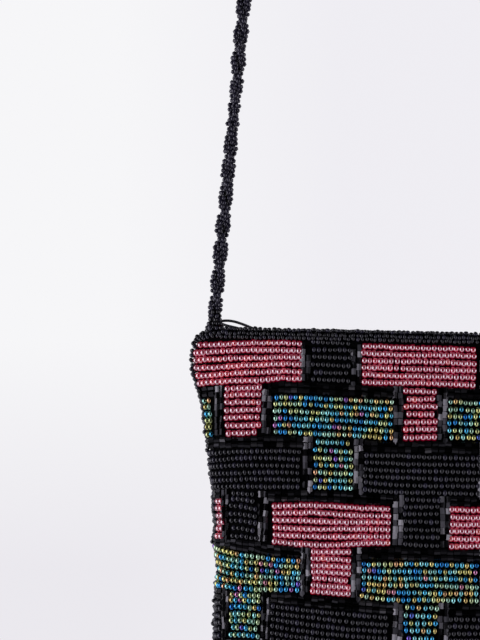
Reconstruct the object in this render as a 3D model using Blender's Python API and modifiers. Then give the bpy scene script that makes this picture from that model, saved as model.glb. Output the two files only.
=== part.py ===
"""A beaded crossbody bag that hangs by its long rope strap.

Metres, +Z up, front towards -Y. The origin is the place the strap hangs by: the underside of the
top of its loop. The bag itself is modelled in its own frame, whose origin is the middle of the top
edge, and that frame hangs a little askew, with the bag's right-hand corner lower.
"""

from math import acos, atan2, ceil, cos, hypot, pi, radians, sin

import bmesh
import bpy
from mathutils import Matrix, Vector

# Touching pieces keep this much air between them.
GAP = 0.0003

# Body: two beaded panels sewn together down the sides and along the bottom.
PANEL_WIDTH = 0.1444
PANEL_HEIGHT = 0.1725
BODY_DEPTH = 0.042
PANEL_WALL = 0.0024
BAG_TILT_DEG = 1.3

# Plan of a panel: a half superellipse of this power, with this many points.
PLAN_POWER = 2.3
PLAN_POINTS = 19

# Beaded band round the mouth. At its foot it stands out past the panels' ends and faces.
EDGE_OVERHANG = 0.0012
EDGE_PROUD = 0.00063
EDGE_HEIGHT = 0.0048
EDGE_WALL = 0.0026

# Chain of beads along the side and bottom seams. Where the seam bends, the middle of the chain
# is this much further out than on a straight run.
CHAIN_RADIUS = 0.0011
CHAIN_STAND_OFF = 1.04

# Zip that closes the mouth. A tape's outer edge keeps clear of the band, which curves in plan.
ZIP_DROP = 0.0013
TAPE_THICKNESS = 0.0009
TAPE_CLEARANCE = 0.00039
TAPE_STEPS = 12
COIL_RADIUS = 0.0009
SLIDER_LENGTH = 0.008
SLIDER_WIDTH = 0.0046
SLIDER_THICKNESS = 0.0014
PULL_LENGTH = 0.014
PULL_WIDTH = 0.0036
PULL_THICKNESS = 0.0008

# The left ends of the zip's tapes arch up over the edge to the strap's root.
FRONT_ARCH_LENGTH = 0.0055
FRONT_ARCH_RISE = 0.0015
BACK_ARCH_LENGTH = 0.0095
BACK_ARCH_RISE = 0.0026

# Strap: a rope of two bead-covered strands, and the knob of beads at each end of it. The knobs
# are inset from the panels' ends.
STRAP_DROP = 0.604
STRAP_RADIUS = 0.0025
HANG_RADIUS = 0.008
ROPE_STEP = 0.0162
BEND_STEPS = 8
ROOT_INSET = 0.006
ROOT_HEIGHT = 0.0046
ROOT_BASE_RADIUS = 0.0038
ROOT_TOP_RADIUS = 0.0027
ROOT_TURN_STEPS = 12

# Panel sections from the top down. Columns: way down as a share of PANEL_HEIGHT, width as a share
# of PANEL_WIDTH, depth as a share of BODY_DEPTH. The seams pull in and pucker below the mouth.
PANEL_SECTIONS = (
    (0.000, 0.985, 0.37),
    (0.020, 1.000, 0.39),
    (0.055, 0.998, 0.44),
    (0.110, 0.965, 0.54),
    (0.190, 0.932, 0.67),
    (0.255, 0.916, 0.75),
    (0.285, 0.900, 0.79),
    (0.312, 0.909, 0.82),
    (0.342, 0.890, 0.85),
    (0.370, 0.906, 0.88),
    (0.412, 0.886, 0.92),
    (0.429, 0.868, 0.93),
    (0.446, 0.888, 0.95),
    (0.550, 0.888, 1.00),
    (0.655, 0.892, 0.99),
    (0.755, 0.906, 0.92),
    (0.840, 0.930, 0.77),
    (0.910, 0.955, 0.57),
    (0.955, 0.965, 0.39),
    (0.983, 0.948, 0.24),
    (1.000, 0.905, 0.115),
)

# Sections of the band round the mouth, from the top down. Columns: way down as a share of
# EDGE_HEIGHT, width as a share of EDGE_WIDTH, depth as a share of EDGE_DEPTH.
EDGE_SECTIONS = (
    (0.00, 0.935, 0.88),
    (0.20, 0.958, 0.96),
    (0.52, 0.985, 1.00),
    (1.00, 1.000, 0.98),
)

# Side view of a tape's arch. Columns: way back from the strap's root as a share of the arch's
# length, height as a share of its rise.
ARCH_SHAPE = (
    (0.00, 1.00),
    (0.22, 0.96),
    (0.45, 0.80),
    (0.70, 0.48),
    (1.00, 0.00),
)

# Side view of a strap root, from the middle of its top to the middle of its foot. Columns:
# radius as a share of the way from ROOT_TOP_RADIUS to ROOT_BASE_RADIUS, height as a share of
# ROOT_HEIGHT.
ROOT_SHAPE = (
    (0.0, 1.00),
    (0.0, 0.55),
    (1.0, 0.18),
    (1.0, 0.00),
)

# Colours: red, green, blue, then roughness and metallic.
FINISHES = {
    "beaded_panel": (0.11, 0.03, 0.05, 0.30, 0.0),
    "black_glass": (0.012, 0.012, 0.014, 0.25, 0.0),
    "zip_tape": (0.10, 0.10, 0.105, 0.75, 0.0),
    "zip_coil": (0.05, 0.05, 0.055, 0.40, 0.0),
    "zip_slider": (0.03, 0.03, 0.033, 0.30, 0.8),
}

PANEL_TOP = -(EDGE_HEIGHT + GAP)
EDGE_WIDTH = PANEL_WIDTH + 2 * EDGE_OVERHANG
EDGE_DEPTH = PANEL_SECTIONS[0][2] * BODY_DEPTH + 2 * EDGE_PROUD
ROOT_X = PANEL_WIDTH / 2 - ROOT_INSET
COIL_TOP = -ZIP_DROP + COIL_RADIUS


def clear_scene():
    for obj in list(bpy.data.objects):
        bpy.data.objects.remove(obj, do_unlink=True)


def make_finishes():
    finishes = {}
    for name, (red, green, blue, roughness, metallic) in FINISHES.items():
        material = bpy.data.materials.new(name)
        material.use_nodes = True
        shader = material.node_tree.nodes["Principled BSDF"]
        shader.inputs["Base Color"].default_value = (red, green, blue, 1.0)
        shader.inputs["Roughness"].default_value = roughness
        shader.inputs["Metallic"].default_value = metallic
        finishes[name] = material
    return finishes


def add_node(name, data, finish, parent=None):
    """Adds an object that holds this mesh or curve, in the bag's frame when it has that parent."""
    data.materials.append(finish)
    obj = bpy.data.objects.new(name, data)
    COLLECTION.objects.link(obj)
    obj.parent = parent
    return obj


def mesh_from(name, build):
    """A mesh of the faces that build(bm) makes, all facing out."""
    bm = bmesh.new()
    build(bm)
    bmesh.ops.recalc_face_normals(bm, faces=bm.faces)
    mesh = bpy.data.meshes.new(name)
    bm.to_mesh(mesh)
    bm.free()
    mesh.shade_smooth()
    mesh.set_sharp_from_angle(angle=radians(40))
    return mesh


def loft(bm, loops):
    """Joins closed loops, which all have as many points, into a tube with open ends. Returns its rings."""
    rings = [[bm.verts.new(point) for point in loop] for loop in loops]
    count = len(rings[0])
    for upper, lower in zip(rings, rings[1:]):
        for index in range(count):
            after = (index + 1) % count
            bm.faces.new((upper[index], upper[after], lower[after], lower[index]))
    return rings


def half_plan(half_width, half_depth):
    """Points (x, y) of the half superellipse, from its right end round to its left end."""
    points = []
    for index in range(PLAN_POINTS):
        angle = pi * index / (PLAN_POINTS - 1)
        along = abs(cos(angle)) ** (2 / PLAN_POWER)
        across = abs(sin(angle)) ** (2 / PLAN_POWER)
        points.append((half_width * (along if angle < pi / 2 else -along), half_depth * across))
    return points


def half_shell(side, levels):
    """A wall round half of the bag. side is -1 for the front and 1 for the back.

    Each level is (height, outer half width and depth, inner half width and depth)."""
    loops = []
    for height, outer_width, outer_depth, inner_width, inner_depth in levels:
        outer = half_plan(outer_width, outer_depth)
        inner = half_plan(inner_width, inner_depth)
        rim = outer + inner[::-1]
        loops.append([Vector((x, side * (y + GAP / 2), height)) for x, y in rim])

    def build(bm):
        rings = loft(bm, loops)
        for ring in (rings[0], rings[-1]):
            for index in range(PLAN_POINTS - 1):
                back = 2 * PLAN_POINTS - 1 - index
                bm.faces.new((ring[index], ring[index + 1], ring[back - 1], ring[back]))

    return build


def panel_levels():
    levels = []
    for down, width, depth in PANEL_SECTIONS:
        half_width = width * PANEL_WIDTH / 2
        half_depth = depth * BODY_DEPTH / 2
        inner_depth = max(half_depth - PANEL_WALL, 0.0)
        height = PANEL_TOP - down * PANEL_HEIGHT
        levels.append((height, half_width, half_depth, half_width - PANEL_WALL, inner_depth))
    return levels


def mouth_inside():
    """Half width and half depth of the opening inside the band round the mouth."""
    _, width, depth = EDGE_SECTIONS[0]
    return width * EDGE_WIDTH / 2 - EDGE_WALL, depth * EDGE_DEPTH / 2 - EDGE_WALL


def edge_levels():
    levels = []
    for down, width, depth in EDGE_SECTIONS:
        outer = (width * EDGE_WIDTH / 2, depth * EDGE_DEPTH / 2)
        levels.append((-down * EDGE_HEIGHT, *outer, *mouth_inside()))
    return levels


def poly_tube(name, points, radius, finish, parent=None):
    """A round bar along these points, with closed ends."""
    curve = bpy.data.curves.new(name, "CURVE")
    curve.dimensions = "3D"
    curve.bevel_depth = radius
    curve.bevel_resolution = 2
    curve.use_fill_caps = True
    spline = curve.splines.new("POLY")
    spline.points.add(len(points) - 1)
    for spot, point in zip(spline.points, points):
        spot.co = (*point, 1.0)
    return add_node(name, curve, finish, parent)


def chain_path():
    """Middle of the seam's bead chain: down the left side, along the bottom and up the right side."""
    right = [(half_width, height) for height, half_width, *_ in panel_levels()]
    right[0] = (right[0][0], PANEL_TOP - CHAIN_RADIUS)
    bottom = right[-1][1]
    outline = [(-x, z) for x, z in right] + [(0.0, bottom)] + right[::-1]
    path = []
    for index, (x, z) in enumerate(outline):
        before = outline[max(index - 1, 0)]
        after = outline[min(index + 1, len(outline) - 1)]
        run = Vector((after[0] - before[0], after[1] - before[1])).normalized()
        away = Vector((run.y, -run.x)) * (GAP + CHAIN_RADIUS) * CHAIN_STAND_OFF
        path.append((x + away.x, 0.0, z + away.y))
    return path


def mouth_half_depth(x):
    """Half depth of the mouth's opening at x."""
    half_width, half_depth = mouth_inside()
    share = min(abs(x) / half_width, 1.0)
    return half_depth * (1 - share**PLAN_POWER) ** (1 / PLAN_POWER)


def zip_tape(side, arch_length, arch_rise):
    """One tape of the zip: flat in the mouth, with its left end arched up to the strap's root."""
    inner_y = COIL_RADIUS + GAP
    tape_end = ROOT_X - ROOT_BASE_RADIUS - GAP
    stations = [(arch_length * back - tape_end, (arch_rise + ZIP_DROP) * rise) for back, rise in ARCH_SHAPE]
    flat_start = arch_length - tape_end
    for step in range(1, TAPE_STEPS + 1):
        stations.append((flat_start + (tape_end - flat_start) * step / TAPE_STEPS, 0.0))
    loops = []
    for x, rise in stations:
        middle = rise - ZIP_DROP
        outer_y = max(mouth_half_depth(x) - TAPE_CLEARANCE, inner_y + GAP)
        low, high = middle - TAPE_THICKNESS / 2, middle + TAPE_THICKNESS / 2
        corners = ((inner_y, low), (outer_y, low), (outer_y, high), (inner_y, high))
        loops.append([Vector((x, side * y, z)) for y, z in corners])

    def build(bm):
        rings = loft(bm, loops)
        bm.faces.new(rings[0])
        bm.faces.new(rings[-1])

    return build


def add_box(bm, low, high):
    """A box between two corners."""
    size = Vector(high) - Vector(low)
    middle = (Vector(high) + Vector(low)) / 2
    bmesh.ops.create_cube(bm, size=1.0, matrix=Matrix.Translation(middle) @ Matrix.Diagonal((*size, 1.0)))


def zip_slider(finish, parent):
    """The slider at the zip's right end, with its pull lying along the zip: one piece."""
    right = ROOT_X - ROOT_BASE_RADIUS - 2 * GAP
    bottom = COIL_TOP + GAP
    top = bottom + SLIDER_THICKNESS
    half = SLIDER_WIDTH / 2
    overlap = SLIDER_THICKNESS / 2

    def build_body(bm):
        add_box(bm, (right - SLIDER_LENGTH, -half, bottom), (right, half, top))

    def build_pull(bm):
        pull_right = right - SLIDER_LENGTH / 3
        low = (pull_right - PULL_LENGTH, -PULL_WIDTH / 2, top - overlap)
        add_box(bm, low, (pull_right, PULL_WIDTH / 2, top + PULL_THICKNESS))

    slider = add_node("zip_slider", mesh_from("zip_slider", build_body), finish, parent)
    pull = bpy.data.objects.new("pull_tab", mesh_from("pull_tab", build_pull))
    CUTTERS.objects.link(pull)
    pull.parent = parent
    pull.hide_render = True
    pull.display_type = "WIRE"
    join = slider.modifiers.new("join_pull", "BOOLEAN")
    join.operation = "UNION"
    join.object = pull


def strap_root(name, x, finish, parent):
    """The knob of beads that ties the strap to the mouth's band: a turned shape, standing on the band."""
    flare = ROOT_BASE_RADIUS - ROOT_TOP_RADIUS
    profile = [(0.0, ROOT_HEIGHT)]
    profile += [(ROOT_TOP_RADIUS + flare * out, ROOT_HEIGHT * up) for out, up in ROOT_SHAPE]
    profile.append((0.0, 0.0))
    mesh = bpy.data.meshes.new(name)
    edges = [(index, index + 1) for index in range(len(profile) - 1)]
    mesh.from_pydata([(radius, 0.0, height) for radius, height in profile], edges, [])
    root = add_node(name, mesh, finish, parent)
    root.location = (x, 0.0, GAP)
    turn = root.modifiers.new("turn", "SCREW")
    turn.steps = ROOT_TURN_STEPS
    turn.render_steps = ROOT_TURN_STEPS
    turn.use_merge_vertices = True
    turn.merge_threshold = 0.00005


def strap_path(to_world):
    """Middle of the rope: from the left root up over the hanging place and down to the right root."""
    bend = HANG_RADIUS + STRAP_RADIUS
    centre = Vector((0.0, 0.0, -HANG_RADIUS))
    lift = GAP + ROOT_HEIGHT + GAP
    ends = [to_world @ Vector((x, 0.0, lift)) for x in (-ROOT_X, ROOT_X)]
    angles = []
    for end, turn in zip(ends, (-1, 1)):
        away = end - centre
        angles.append(atan2(away.z, away.x) + turn * acos(bend / away.length))
    left_angle, right_angle = angles[0] % (2 * pi), angles[1]
    tangents = [centre + bend * Vector((cos(angle), 0.0, sin(angle))) for angle in (left_angle, right_angle)]
    left_leg = straight_run(ends[0], tangents[0])
    right_leg = straight_run(tangents[1], ends[1])
    over = []
    for step in range(1, BEND_STEPS):
        angle = left_angle + (right_angle - left_angle) * step / BEND_STEPS
        over.append(centre + bend * Vector((cos(angle), 0.0, sin(angle))))
    return left_leg + over + right_leg


def straight_run(start, end):
    steps = ceil(hypot(*(end - start)) / ROPE_STEP)
    return [start.lerp(end, step / steps) for step in range(steps + 1)]


def build_bag():
    finishes = make_finishes()
    bag = bpy.data.objects.new("bag_frame", None)
    COLLECTION.objects.link(bag)
    to_world = Matrix.Translation((0.0, 0.0, -STRAP_DROP)) @ Matrix.Rotation(radians(BAG_TILT_DEG), 4, "Y")
    bag.matrix_world = to_world

    for label, side in (("front", -1), ("back", 1)):
        panel = mesh_from("panel", half_shell(side, panel_levels()))
        add_node(f"{label}_panel", panel, finishes["beaded_panel"], bag)
        edge = mesh_from("edge", half_shell(side, edge_levels()))
        add_node(f"top_edging_{label}", edge, finishes["black_glass"], bag)
    poly_tube("seam_edging", chain_path(), CHAIN_RADIUS, finishes["black_glass"], bag)

    front_tape = mesh_from("tape", zip_tape(-1, FRONT_ARCH_LENGTH, FRONT_ARCH_RISE))
    add_node("zip_tape_front", front_tape, finishes["zip_tape"], bag)
    back_tape = mesh_from("tape", zip_tape(1, BACK_ARCH_LENGTH, BACK_ARCH_RISE))
    add_node("zip_tape_back", back_tape, finishes["zip_tape"], bag)
    coil_end = ROOT_X - ROOT_BASE_RADIUS - GAP
    coil = [Vector((x, 0.0, -ZIP_DROP)) for x in (-coil_end, coil_end)]
    poly_tube("zip_coil", coil, COIL_RADIUS, finishes["zip_coil"], bag)
    zip_slider(finishes["zip_slider"], bag)

    strap_root("strap_root_left", -ROOT_X, finishes["black_glass"], bag)
    strap_root("strap_root_right", ROOT_X, finishes["black_glass"], bag)
    poly_tube("strap", strap_path(to_world), STRAP_RADIUS, finishes["black_glass"])


clear_scene()
COLLECTION = bpy.data.collections.new("beaded_crossbody_bag")
bpy.context.scene.collection.children.link(COLLECTION)
CUTTERS = bpy.data.collections.new("joined_pieces")
bpy.context.scene.collection.children.link(CUTTERS)
build_bag()
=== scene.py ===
"""Looks of the beaded crossbody bag: every seed bead and bugle bead, the twisted strap and the zip.

Metres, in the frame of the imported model. Most shapes are worked out in the bag's own frame, whose
origin is the middle of its top edge, and then moved to where the bag hangs.
"""

from math import acos, atan2, cos, pi, radians, sin

import bmesh
import bpy
import numpy as np
from mathutils import Matrix, Vector


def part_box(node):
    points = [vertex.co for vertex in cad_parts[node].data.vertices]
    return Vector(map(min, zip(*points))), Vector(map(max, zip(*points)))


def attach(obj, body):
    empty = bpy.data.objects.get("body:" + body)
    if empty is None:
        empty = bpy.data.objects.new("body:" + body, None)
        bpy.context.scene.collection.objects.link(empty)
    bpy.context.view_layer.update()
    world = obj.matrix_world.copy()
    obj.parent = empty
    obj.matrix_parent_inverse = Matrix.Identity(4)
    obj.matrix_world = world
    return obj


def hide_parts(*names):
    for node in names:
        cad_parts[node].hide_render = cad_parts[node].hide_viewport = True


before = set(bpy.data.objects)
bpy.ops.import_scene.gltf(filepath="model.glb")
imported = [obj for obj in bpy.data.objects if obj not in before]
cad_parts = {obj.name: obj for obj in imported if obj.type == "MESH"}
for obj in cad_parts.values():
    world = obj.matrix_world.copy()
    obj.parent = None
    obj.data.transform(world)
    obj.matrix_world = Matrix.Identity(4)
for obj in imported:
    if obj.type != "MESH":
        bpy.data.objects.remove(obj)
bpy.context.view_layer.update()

# How the bag hangs.
STRAP_DROP = 0.604
BAG_TILT = radians(1.3)
TO_WORLD = np.array(Matrix.Translation((0.0, 0.0, -STRAP_DROP)) @ Matrix.Rotation(BAG_TILT, 4, "Y"))

# The body's sizes and sections, as the solids have them.
PANEL_WIDTH = 0.1444
PANEL_HEIGHT = 0.1725
BODY_DEPTH = 0.042
PLAN_POWER = 2.3
PANEL_TOP = -0.0051
PANEL_SECTIONS = (
    (0.000, 0.985, 0.37),
    (0.020, 1.000, 0.39),
    (0.055, 0.998, 0.44),
    (0.110, 0.965, 0.54),
    (0.190, 0.932, 0.67),
    (0.255, 0.916, 0.75),
    (0.285, 0.900, 0.79),
    (0.312, 0.909, 0.82),
    (0.342, 0.890, 0.85),
    (0.370, 0.906, 0.88),
    (0.412, 0.886, 0.92),
    (0.429, 0.868, 0.93),
    (0.446, 0.888, 0.95),
    (0.550, 0.888, 1.00),
    (0.655, 0.892, 0.99),
    (0.755, 0.906, 0.92),
    (0.840, 0.930, 0.77),
    (0.910, 0.955, 0.57),
    (0.955, 0.965, 0.39),
    (0.983, 0.948, 0.24),
    (1.000, 0.905, 0.115),
)

# Beads. The small ones are those of the strap, the band round the mouth and the seams.
SEED_LENGTH = 0.00170
SEED_RADIUS = 0.00115
SMALL_LENGTH = 0.00126
SMALL_RADIUS = 0.00080
STRAND_BEAD_RADIUS = 0.00090
BUGLE_LENGTH = 0.00195
BUGLE_RADIUS = 0.00088
# How far the middles of a panel's last beads stand out past the solid's ends, near the top and lower.
SIDE_REACH = (0.0, -0.0006)
SIDE_REACH_PLACES = (0.030, 0.065)

# The pattern of T blocks. Lengths run along the panel's cloth.
BAND_PITCH = 0.0171
FIRST_ROW = 0.0003
ROW_PITCH = 0.00224
BAR_ROWS = 6
STEM_ROWS = 7
# From a bar's last row to its stem's first.
FIRST_STEM_ROW = 0.0026
COLUMN_PITCH = 0.00172
COLOURS = ("crimson", "iris", "black")
# Each band's blocks, from the top band down: middle of the bar across the cloth, how far the middle
# of the stem is from it, bar's width and beads, stem's width and beads. Lengths in millimetres.
# A block that doesn't give all of them has the usual ones.
USUAL_BLOCK = (0.0, 0.0, 37.6, 22, 11.4, 7)
BLOCKS = (
    ((-56.6, 0.0, 38.0, 23, 11.8, 7), (-0.1, 0.6, 37.0, 21, 10.6, 6), (57.2, 0.2)),
    ((-86.1, 0.0), (-27.4, 0.2, 38.6, 24, 12.6, 8), (27.9, 0.4), (86.0, -0.3)),
    ((-56.4, 0.3, 37.6, 25, 9.6, 6), (1.2, 0.0), (57.6, -0.4, 37.2, 22, 11.6, 7)),
    ((-82.3, 0.0), (-27.6, 0.2, 37.6, 23, 12.5, 8), (28.9, 0.0), (85.4, 0.3)),
    ((-55.6, 0.3, 37.6, 22, 11.0, 7), (0.9, 0.4, 37.6, 23, 10.8, 6), (57.0, 0.5)),
    ((-83.2, 0.0), (-27.8, 0.2, 37.6, 23, 11.4, 7), (28.6, -0.5, 38.0, 22, 12.2, 7), (85.2, 0.0)),
    ((-56.2, -0.4), (0.8, 0.2, 37.2, 22, 10.8, 6), (57.3, 0.0)),
    ((-85.0, 0.0), (-27.9, 0.3, 37.9, 22, 12.0, 7), (28.9, 0.1), (85.6, 0.0)),
    ((-56.4, 0.1), (0.6, -0.4, 37.6, 22, 11.0, 7), (57.2, 0.3)),
    ((-85.2, 0.0), (-27.7, 0.0), (28.8, 0.2), (85.2, 0.0)),
)
# The stems that come down from above the mouth.
FIRST_STEMS = ((-28.3, 0.0, 37.6, 22, 12.8, 8), (28.8, 0.0))
# In each band, the beads of a half block that lie this near to the seam are black.
BLACK_MARGINS = (0.0, 0.0020, 0.0, 0.0034, 0.0, 0.0, 0.0, 0.0030, 0.0, 0.0030)
# Half blocks have their middles past this place, and no row reaches it.
PAST_SEAM = 0.08
# How much a half block's rows follow the seam in and out.
SEAM_FOLLOW = 0.65
# The columns of bugles beside a stem, in column pitches from it, and how far below the bar they start.
BUGLE_COLUMNS = (0.55, 1.55)
COLUMN_DROP = 0.0022
# The rows of bugles under the bars, from a bar's last row.
BUGLE_ROWS = (0.00195, 0.00385)
# How far inside the panel's sides, top and bottom the middles of seed beads and bugles stay.
SEED_MARGINS = (0.0002, -0.0012, 0.0008)
BUGLE_MARGINS = (0.0006, 0.0004, 0.0010)
# How unevenly seed beads follow each other in a row, and how far and how often one stands off.
SPACING_SPREAD = 0.035
LOOSE_GAP = 0.26
LOOSE_SHARE = 0.15
# The share of a stem's rows that have all its beads. The others are one short.
FULL_SHARE = 0.8
# The pitch of bugles in the columns and in the rows, and how far down a column may reach.
COLUMN_BUGLE_PITCH = BUGLE_LENGTH * 1.04
ROW_BUGLE_PITCH = BUGLE_LENGTH * 1.05
COLUMN_OVERRUN = 0.0012
# Most bugles of the rows keep to the darker part of their colours.
DULL_SHARE = 0.8
DULL_PART = 0.66
# How much longer and wider than the usual seed bead those of each colour are.
BEAD_SHAPES = {"crimson": (1.05, 0.97), "iris": (1.0, 1.0), "black": (1.0, 0.93)}
# The place on each panel whose crimson beads are brighter: a painted glow of light through the glass.
# How wide and high it is, and how much is added to their random numbers there, up to BRIGHT_RED.
PAINTED_GLOW_CORNER = (-0.061, 0.0085)
PAINTED_GLOW_CORNER_SIZE = (0.009, 0.006)
PAINTED_GLOW_CORNER_SHARE = 0.62
BRIGHT_RED = 0.97

# The cloth's outer and inner faces: how deep each lies in the panel, and how far it is moved outwards.
CLOTH_FACES = ((0.0014, 0.00020), (0.0022, 0.00010))
# The strip of cloth under the band round the mouth. Columns: height, half width and half depth.
MOUTH_STRIP = (
    (-0.0011, 0.0690, 0.0059),
    (-0.0022, 0.0708, 0.0066),
    (-0.0036, 0.0716, 0.0069),
    (-0.0058, 0.0716, 0.0068),
)
MOUTH_STRIP_THICKNESS = 0.0008

# How far each band's first and last rows sag or lift, in millimetres, downwards. Columns are places
# across the cloth, in millimetres from its middle. Past the table the rows only wave a little.
WARP_PLACES = (-73.0, -66.0, -58.0, -50.0, -44.0, -36.0, -27.0, -18.0, -10.0, 0.0, 10.0, 17.0)
WARP = (
    (0.9, 0.5, -0.2, -0.4, -0.5, -0.3, -0.1, -0.1, 0.1, 0.1, 0.0, 0.3),
    (2.3, 1.6, 0.7, 0.4, -0.6, -0.1, 0.1, 0.1, 0.4, 0.2, 0.4, 0.4),
    (2.2, 1.2, 0.1, 0.1, -0.3, -0.3, 0.2, 0.3, 0.5, 0.3, 0.1, 0.4),
    (1.9, 1.0, 0.7, 0.1, -0.3, -0.1, -0.1, 0.3, 1.0, 0.4, 0.1, 0.2),
    (2.3, 1.4, 0.4, 0.1, 0.0, 0.0, 0.4, 0.5, 0.5, 0.6, 0.6, 0.7),
    (1.8, 1.2, 0.6, 0.1, -0.1, -0.1, -0.1, -0.1, 0.6, 0.7, 0.7, 0.7),
    (0.3, 0.0, -0.8, 0.4, 0.3, -0.5, -0.3, 0.2, 0.1, 0.0, -0.2, 0.1),
    (0.2, 0.1, -1.0, -0.1, 0.5, 0.9, 0.7, -0.1, -0.4, 0.2, 0.2, 0.1),
    (-2.3, -2.0, -0.9, -0.4, 0.3, 0.2, 0.0, 0.5, 0.5, 0.1, 0.0, 0.3),
    (-1.2, -1.3, -1.1, -1.3, -1.8, -1.8, -1.2, -0.9, 0.2, 0.0, 0.1, 0.1),
    (-0.8, -1.6, -2.7, -2.7, -2.1, -1.6, -1.0, -0.3, -0.1, 0.1, 0.1, 0.1),
    (-0.9, -2.0, -3.6, -3.5, -2.7, -1.8, -1.0, -0.5, -0.3, -0.1, -0.1, -0.2),
)

# The strap, and the two strands that twist round each other in it.
STRAP_SPREAD = 0.1324
ROOT_HEIGHT = 0.0046
STRAP_RADIUS = 0.0025
HANG_RADIUS = 0.008
# How far each strand's middle is from the strap's, the radius of the ring of beads round it, and how
# far they may stand out towards the other strand.
STRAND_OFFSET = 0.00113
STRAND_RING = 0.00072
STRAND_CONTACT = 0.00064
# How far the string of beads climbs in one turn round its cord.
STRING_PITCH = 0.00150
# The cord inside each strand, and how far it lies towards the other strand.
CORE_STEP = 0.0026
CORE_RADIUS = 0.0009
CORE_ASIDE = 0.0005
# The knot of cord inside each root, and the random numbers that make cord dark.
ROOT_CORE_LENGTH = 0.0072
ROOT_CORE_RADIUS = 0.0014
CORD_TINT = (0.5, 0.0, 0.5, 1.0)
# The rings of beads round each root. Columns: height, distance from the root's middle, and beads.
ROOT_RINGS = (
    (-0.0006, 0.0024, 11),
    (0.0008, 0.0019, 9),
    (0.0021, 0.0016, 8),
    (0.0034, 0.0015, 7),
    (0.0046, 0.0013, 6),
)
# Places up the strap, from its root, where the two strands cross over each other, in millimetres.
CROSSINGS = (-2.0, 5.5, 15.3, 24.0, 33.3, 42.7, 50.5, 59.3, 64.2, 69.7, 77.2, 86.5, 95.5, 104.6)
# Past the last of them they go on at about this step, give or take this share of it.
CROSSING_STEP = 9.0
CROSSING_SPREAD = 0.22
# How long the strands stay side by side before they cross: 0 for an even twist.
DWELL = 0.32

# The band round the mouth. Columns: height of the lane's beads in millimetres, half width and half
# depth of its plan, how much of the corner's droop it follows, pitch, and whether its beads are sewn
# over the crest or slant.
EDGE_LANES = (
    (-0.75, 73.1, 6.5, 1.00, 1.57, "over"),
    (-2.05, 72.3, 7.3, 0.80, 1.36, "slant"),
    (-3.15, 71.8, 7.5, 0.55, 1.42, "slant"),
)
# How far the band droops at places across the bag, both in metres.
DROOP_PLACES = (0.0645, 0.0663, 0.0679, 0.0695, 0.0714, 0.0726, 0.0734)
DROOP = (0.0, 0.0002, 0.0006, 0.0012, 0.0027, 0.0042, 0.0060)

# The strings of beads along the seams. Columns: place from front to back, how far each stands off the
# seam, and pitch.
SEAM_LANES = ((-0.0006, 0.0003, 0.00150), (0.0007, 0.0002, 0.00156), (0.0001, -0.0009, 0.00140))
# How much further off they stand near the mouth: places down the panel, and lengths there.
SEAM_SHOULDER = ((0.0, 0.004, 0.010, 0.019), (0.0004, 0.0010, 0.0008, 0.0))

# Zip
ZIP_DROP = 0.0013
TAPE_THICKNESS = 0.0009
COIL_RADIUS = 0.0009
# The plan of the tapes' outer edges: half width, and half depth in the middle.
TAPE_PLAN = (0.0675, 0.0049)
# Side views of the tapes' ends, in millimetres from the middle of the bag's top edge.
BACK_TAPE_END = (
    (-65.6, 1.2), (-64.7, 1.55), (-63.8, 1.8), (-61.7, 2.0), (-59.6, 1.65), (-57.3, 0.95), (-54.8, 0.0),
    (-51.5, -1.3),
)
FRONT_TAPE_END = (
    (-66.1, 0.86), (-64.8, 0.98), (-63.8, 0.8), (-62.5, 0.35), (-60.7, -0.05), (-58.8, -0.4), (-55.5, -1.3)
)
# How far the tapes and the coil stop short of the strap's roots.
TAPE_INSET = 0.0041
COIL_INSET = 0.0042
TOOTH_PITCH = 0.00072
TOOTH_LENGTH = 0.0021
TOOTH_RADIUS = 0.00042
# The slider, the bridge on it and its pull: length, width and height. The pull's eye has no height.
SLIDER_SIZE = (0.0080, 0.0046, 0.0013)
BRIDGE_SIZE = (0.0042, 0.0011, 0.0010)
PULL_SIZE = (0.0138, 0.0036, 0.0007)
EYE_INSET = 0.0018
EYE_SIZE = (0.0016, 0.0018)
# How high above the slider's foot the middle of the slider, that of the bridge and the pull's foot are.
SLIDER_HEIGHTS = (0.0007, 0.0016, 0.0019)
# Where the bridge's middle and the pull's end are, from the slider's right end, as shares of its length.
BRIDGE_PLACE = 0.42
PULL_PLACE = 0.34
# How wide the slider's left end and the pull's right end are, as shares of their width.
SLIDER_TAPER = 0.72
PULL_TAPER = 0.82
SLIDER_BEVEL = 0.00028

SIDES = (("front", -1), ("back", 1))
BANDS = len(BLOCKS)

rng = np.random.default_rng(20)


def smoothed(fine, places, values, spread, mode="odd"):
    """Values read off a table at fine, even places, with its corners rounded over this many places."""
    half = int(3 * spread)
    kernel = np.exp(-0.5 * (np.arange(-half, half + 1) / spread) ** 2)
    kernel /= kernel.sum()
    flat = np.interp(fine, places, values)
    if mode == "odd":
        padded = np.pad(flat, half, mode="reflect", reflect_type="odd")
    else:
        padded = np.pad(flat, half, mode="edge")
    return np.convolve(padded, kernel, mode="valid")


def bag_to_world(points):
    return points @ TO_WORLD[:3, :3].T + TO_WORLD[:3, 3]


def turn_to_world(vectors):
    return vectors @ TO_WORLD[:3, :3].T


def unit(vectors):
    return vectors / np.linalg.norm(vectors, axis=-1, keepdims=True)


def square_to(axes, vectors):
    """Unit vectors square to the axes, as near to these vectors as they can be."""
    return unit(vectors - axes * np.sum(vectors * axes, axis=-1, keepdims=True))


def run_along(points):
    """Lengths along a line of points, from the first of them."""
    return np.concatenate([[0.0], np.cumsum(np.linalg.norm(np.diff(points, axis=0), axis=1))])


def read_line(places, run, points):
    """Points at these lengths along a line."""
    return np.stack([np.interp(places, run, part) for part in points.T], axis=-1)


def columns(*parts):
    """An array with these columns."""
    return np.stack(np.broadcast_arrays(*parts), axis=-1)


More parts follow.
